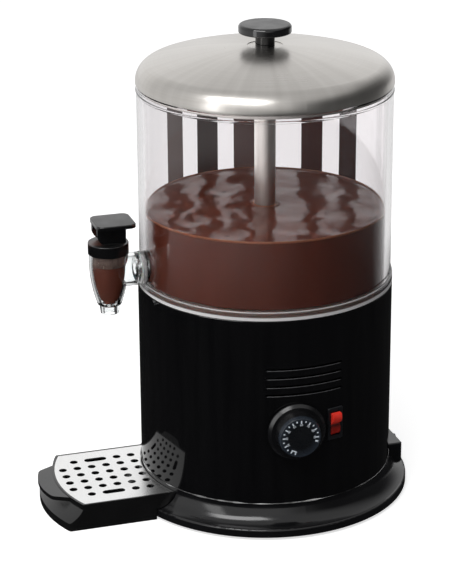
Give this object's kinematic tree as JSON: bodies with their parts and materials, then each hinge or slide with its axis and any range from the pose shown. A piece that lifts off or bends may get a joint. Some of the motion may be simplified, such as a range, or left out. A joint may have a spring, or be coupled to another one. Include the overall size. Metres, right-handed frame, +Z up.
{
  "type": "hot chocolate dispenser",
  "caption": "Countertop hot chocolate dispenser: black round heated base, clear bowl with stirrer, domed steel lid, lever tap and drip tray.",
  "frame": {"origin": "on the vertical axis of the bowl and housing, at the table surface", "axes": "+Z up, -Y to the front where the tap and drip tray are, +X to the side with the dial and switch"},
  "size_m": [0.2837, 0.3722, 0.467],
  "materials": {
    "housing_paint": "gloss black enamel",
    "base_black": "gloss black moulding",
    "control_black": "satin black moulding",
    "tap_black": "gloss black moulding",
    "tray_black": "gloss black moulding",
    "rocker_red": "gloss red moulding",
    "lid_steel": "brushed in circles",
    "grille_steel": "bright brushed sheet",
    "mixer_steel": "drawn bright tube",
    "pan_steel": "pressed sheet",
    "clear_bowl": "clear polycarbonate",
    "clear_tap": "clear polycarbonate",
    "chocolate": "drinking chocolate",
    "rubber_black": "moulded rubber",
    "silicone": "translucent silicone",
    "plated_steel": "zinc plated",
    "plate_zinc": "galvanised sheet",
    "cast_grey": "die cast",
    "bush_plastic": "natural acetal",
    "paddle_plastic": "natural food-safe moulding",
    "terminal_plastic": "ivory moulding",
    "element_steel": "oxidised sheath",
    "copper_bulb": "drawn copper"
  },
  "bodies": {
    "base": {"rubber_feet": "rubber_black", "bottom_plate": "plate_zinc", "bottom_plate_screws": "plated_steel", "base_skirt": "base_black", "housing_shell": "housing_paint", "rear_box": "base_black", "cable_gland": "control_black", "thermostat_body": "terminal_plastic", "thermostat_bulb": "copper_bulb", "switch_bezel": "control_black", "heated_pan": "pan_steel", "heating_element": "element_steel", "centre_column": "mixer_steel", "column_bushes": "bush_plastic", "motor_bracket": "plate_zinc", "gearbox": "cast_grey", "motor": "plate_zinc", "motor_screws": "plated_steel", "terminal_block": "terminal_plastic", "bowl": "clear_bowl", "bowl_seal": "silicone", "hot_chocolate": "chocolate", "outlet_washers": "silicone", "outlet_nut": "clear_tap", "tap_body": "clear_tap", "tap_bonnet": "tap_black", "bonnet_ring": "silicone", "tap_spring": "plated_steel", "tap_chocolate": "chocolate"},
    "dial": {"dial_knob": "control_black", "dial_spindle": "plated_steel"},
    "rocker": {"switch_rocker": "rocker_red"},
    "mixer": {"mixer_sleeve": "mixer_steel", "mixer_cap": "mixer_steel", "mixer_paddle": "paddle_plastic", "drive_shaft": "mixer_steel", "drive_coupling": "cast_grey"},
    "plunger": {"tap_stem": "plated_steel", "stem_plug": "silicone", "lever_pin": "plated_steel"},
    "lever": {"tap_lever": "tap_black"},
    "lid": {"lid_dome": "lid_steel", "lid_knob": "tap_black", "lid_washer": "plated_steel", "lid_screw": "plated_steel"},
    "tray": {"drip_tray": "tray_black"},
    "grille": {"drip_grille": "grille_steel"}
  },
  "joints": [
    {"name": "lid_lift", "type": "slide", "parent": "base", "child": "lid", "axis": [0, 0, 1], "range_m": [0, 0.06]},
    {"name": "mixer_spin", "type": "hinge", "parent": "base", "child": "mixer", "pos_m": [0, 0, 0.3], "axis": [0, 0, 1], "continuous": true},
    {"name": "lever_tilt", "type": "hinge", "parent": "plunger", "child": "lever", "pos_m": [0, -0.156, 0.27845], "axis": [1, 0, 0], "range_deg": [0, 54]},
    {"name": "plunger_lift", "type": "slide", "parent": "base", "child": "plunger", "axis": [0, 0, 1], "range_m": [0, 0.0023], "stiffness_N_per_m": 300, "springref_m": -0.004, "deforming": ["tap_spring"]},
    {"name": "dial_turn", "type": "hinge", "parent": "base", "child": "dial", "pos_m": [0.12415, -0.00933, 0.105], "axis": [0.9972, -0.075, 0], "range_deg": [-265, 0]},
    {"name": "rocker_tilt", "type": "hinge", "parent": "base", "child": "rocker", "pos_m": [0.11876, 0.03005, 0.1063], "axis": [0.2453, -0.9694, 0], "range_deg": [0, 26]},
    {"name": "tray_slide", "type": "slide", "parent": "base", "child": "tray", "axis": [0, -1, 0], "range_m": [0, 0.12]},
    {"name": "grille_lift", "type": "slide", "parent": "tray", "child": "grille", "axis": [0, 0, 1], "range_m": [0, 0.05]}
  ],
  "couplings": [
    {"joint": "lever_tilt", "follows": "plunger_lift", "rad_per_m": 379}
  ]
}
